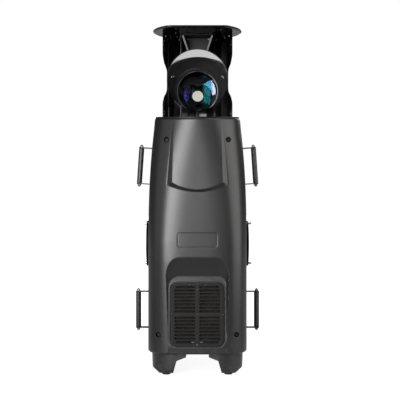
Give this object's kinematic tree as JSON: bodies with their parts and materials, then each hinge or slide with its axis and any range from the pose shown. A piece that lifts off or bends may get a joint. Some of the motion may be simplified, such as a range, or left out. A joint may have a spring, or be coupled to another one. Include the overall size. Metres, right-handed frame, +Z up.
{
  "type": "led scanner light",
  "caption": "Upright stage scanner light: tapered moulded body on feet, LED optics inside, and a pan and tilt mirror in a scooped trough under a round head disc.",
  "frame": {"origin": "on the floor, under the middle of the body's width and depth", "axes": "+Z up, -Y out of the intake grille and the open side of the mirror trough, +X to the right of someone who faces the front"},
  "size_m": [0.3936, 0.4, 1.056],
  "materials": {
    "charcoal_cover": "satin moulded charcoal",
    "black_paint": "gloss black paint",
    "dark_bracket": "dark satin paint",
    "galvanised": "plated sheet steel",
    "aluminium": "machined",
    "black_grip": "black tube",
    "rubber": "moulded rubber",
    "mirror_glass": "front-silvered glass",
    "lens_glass": "coated glass",
    "filter_foam": "open filter mat",
    "motor_steel": "blackened steel",
    "led_cream": "LED module with its phosphor face",
    "black_plastic": "moulded black",
    "belt_rubber": "toothed belt",
    "button_grey": "moulded grey"
  },
  "bodies": {
    "chassis": {"front_cover": "charcoal_cover", "rear_cover": "charcoal_cover", "intake_grille": "dark_bracket", "air_filter": "filter_foam", "base_plate": "galvanised", "chassis_left_rail": "galvanised", "chassis_right_rail": "galvanised", "nose_plate": "black_paint", "optics_plate": "galvanised", "foot_front_left": "charcoal_cover", "foot_front_right": "charcoal_cover", "foot_rear_left": "charcoal_cover", "foot_rear_right": "charcoal_cover", "foot_pad_front_left": "rubber", "foot_pad_front_right": "rubber", "foot_pad_rear_left": "rubber", "foot_pad_rear_right": "rubber", "handle_bracket_lower_left": "dark_bracket", "handle_bracket_lower_right": "dark_bracket", "handle_bracket_upper_left": "dark_bracket", "handle_bracket_upper_right": "dark_bracket", "handle_grip_lower_left": "black_grip", "handle_grip_lower_right": "black_grip", "handle_grip_upper_left": "black_grip", "handle_grip_upper_right": "black_grip", "yoke_disc_left": "black_paint", "yoke_disc_right": "black_paint", "head_disc": "black_paint", "mirror_trough": "black_paint", "pan_motor_bracket": "black_paint", "pan_motor": "motor_steel", "pan_belt": "belt_rubber", "lens_bezel": "black_paint", "objective_lens": "lens_glass", "guide_rod_left": "motor_steel", "guide_rod_right": "motor_steel", "colour_motor": "motor_steel", "gobo_motor": "motor_steel", "led_engine": "led_cream", "led_heat_sink": "aluminium", "fan_frame": "black_plastic", "power_supply": "galvanised", "control_panel": "black_paint", "power_inlet": "black_plastic", "data_in": "black_plastic", "data_out": "black_plastic"},
    "pan_head": {"pan_arm": "dark_bracket", "tilt_motor": "motor_steel"},
    "mirror_head": {"mirror_holder": "dark_bracket", "mirror": "mirror_glass"},
    "pan_pulley": {"pan_motor_pulley": "aluminium"},
    "focus": {"focus_carriage": "aluminium"},
    "colour": {"colour_wheel": "aluminium"},
    "gobo": {"gobo_wheel": "motor_steel"},
    "impeller": {"fan_impeller": "black_plastic"},
    "button_1": {"menu_button_1": "button_grey"},
    "button_2": {"menu_button_2": "button_grey"},
    "button_3": {"menu_button_3": "button_grey"},
    "button_4": {"menu_button_4": "button_grey"},
    "switch": {"power_switch": "black_plastic"}
  },
  "joints": [
    {"name": "pan", "type": "hinge", "parent": "chassis", "child": "pan_head", "pos_m": [0, -0.0655, 1.0437], "axis": [0, 0, 1], "range_deg": [-85, 85]},
    {"name": "tilt", "type": "hinge", "parent": "pan_head", "child": "mirror_head", "pos_m": [0, -0.0655, 0.919], "axis": [1, 0, 0], "range_deg": [-27.5, 27.5]},
    {"name": "pan_pulley_turn", "type": "hinge", "parent": "chassis", "child": "pan_pulley", "pos_m": [0, 0.0065, 1.0459], "axis": [0, 0, 1], "range_deg": [-256, 256]},
    {"name": "focus_travel", "type": "slide", "parent": "chassis", "child": "focus", "axis": [0, 0, 1], "range_m": [-0.02, 0.02]},
    {"name": "colour_turn", "type": "hinge", "parent": "chassis", "child": "colour", "pos_m": [0.038, -0.0395, 0.64], "axis": [0, 0, 1], "continuous": true},
    {"name": "gobo_turn", "type": "hinge", "parent": "chassis", "child": "gobo", "pos_m": [-0.038, -0.0395, 0.652], "axis": [0, 0, 1], "continuous": true},
    {"name": "fan_turn", "type": "hinge", "parent": "chassis", "child": "impeller", "pos_m": [0, -0.0655, 0.4296], "axis": [0, 0, 1], "continuous": true},
    {"name": "button_1_press", "type": "slide", "parent": "chassis", "child": "button_1", "axis": [0, -1, 0], "range_m": [0, 0.0015], "stiffness_N_per_m": 300, "springref_m": -0.001},
    {"name": "button_2_press", "type": "slide", "parent": "chassis", "child": "button_2", "axis": [0, -1, 0], "range_m": [0, 0.0015], "stiffness_N_per_m": 300, "springref_m": -0.001},
    {"name": "button_3_press", "type": "slide", "parent": "chassis", "child": "button_3", "axis": [0, -1, 0], "range_m": [0, 0.0015], "stiffness_N_per_m": 300, "springref_m": -0.001},
    {"name": "button_4_press", "type": "slide", "parent": "chassis", "child": "button_4", "axis": [0, -1, 0], "range_m": [0, 0.0015], "stiffness_N_per_m": 300, "springref_m": -0.001},
    {"name": "switch_rock", "type": "hinge", "parent": "chassis", "child": "switch", "pos_m": [-0.008, 0.1897, 0.142], "axis": [1, 0, 0], "range_deg": [-16, 0]}
  ],
  "couplings": [
    {"joint": "pan_pulley_turn", "follows": "pan", "ratio": 3}
  ]
}
